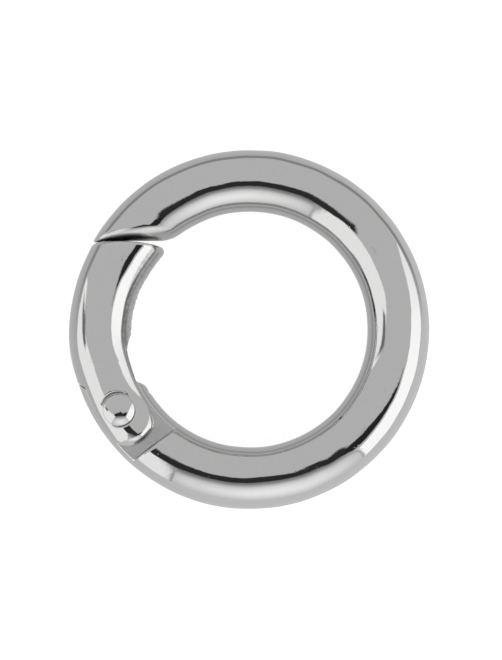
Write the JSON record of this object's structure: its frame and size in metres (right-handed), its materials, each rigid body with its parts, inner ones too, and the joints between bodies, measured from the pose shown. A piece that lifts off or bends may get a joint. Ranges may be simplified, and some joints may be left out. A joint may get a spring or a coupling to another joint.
{
  "type": "spring-gate ring",
  "caption": "Round snap ring for keys and straps: a C-shaped metal bar closed by a curved gate that swings inwards on a rivet and springs shut.",
  "frame": {"origin": "centre of the ring, halfway through the thickness of its bar", "axes": "+Z along the ring's axis, so the ring lies flat; the gate is on the -X side with its free end towards +Y and its rivet towards -Y"},
  "size_m": [0.0383, 0.0382, 0.0074],
  "materials": {
    "plated_casting": "bright nickel plate over a polished zinc casting",
    "plated_gate": "bright nickel plate over a tumbled zinc casting",
    "plated_rivet": "nickel-plated steel, pressed",
    "spring_steel": "drawn spring wire"
  },
  "bodies": {
    "ring": {"ring_body": "plated_casting"},
    "gate": {"gate": "plated_gate", "hinge_rivet": "plated_rivet", "gate_spring": "spring_steel"}
  },
  "joints": [
    {"name": "gate_hinge", "type": "hinge", "parent": "ring", "child": "gate", "pos_m": [-0.0138, -0.00849, 0], "axis": [0, 0, -1], "range_deg": [0, 45], "stiffness_Nm_per_rad": 0.01, "springref_deg": -63.03, "deforming": ["gate_spring"]}
  ]
}
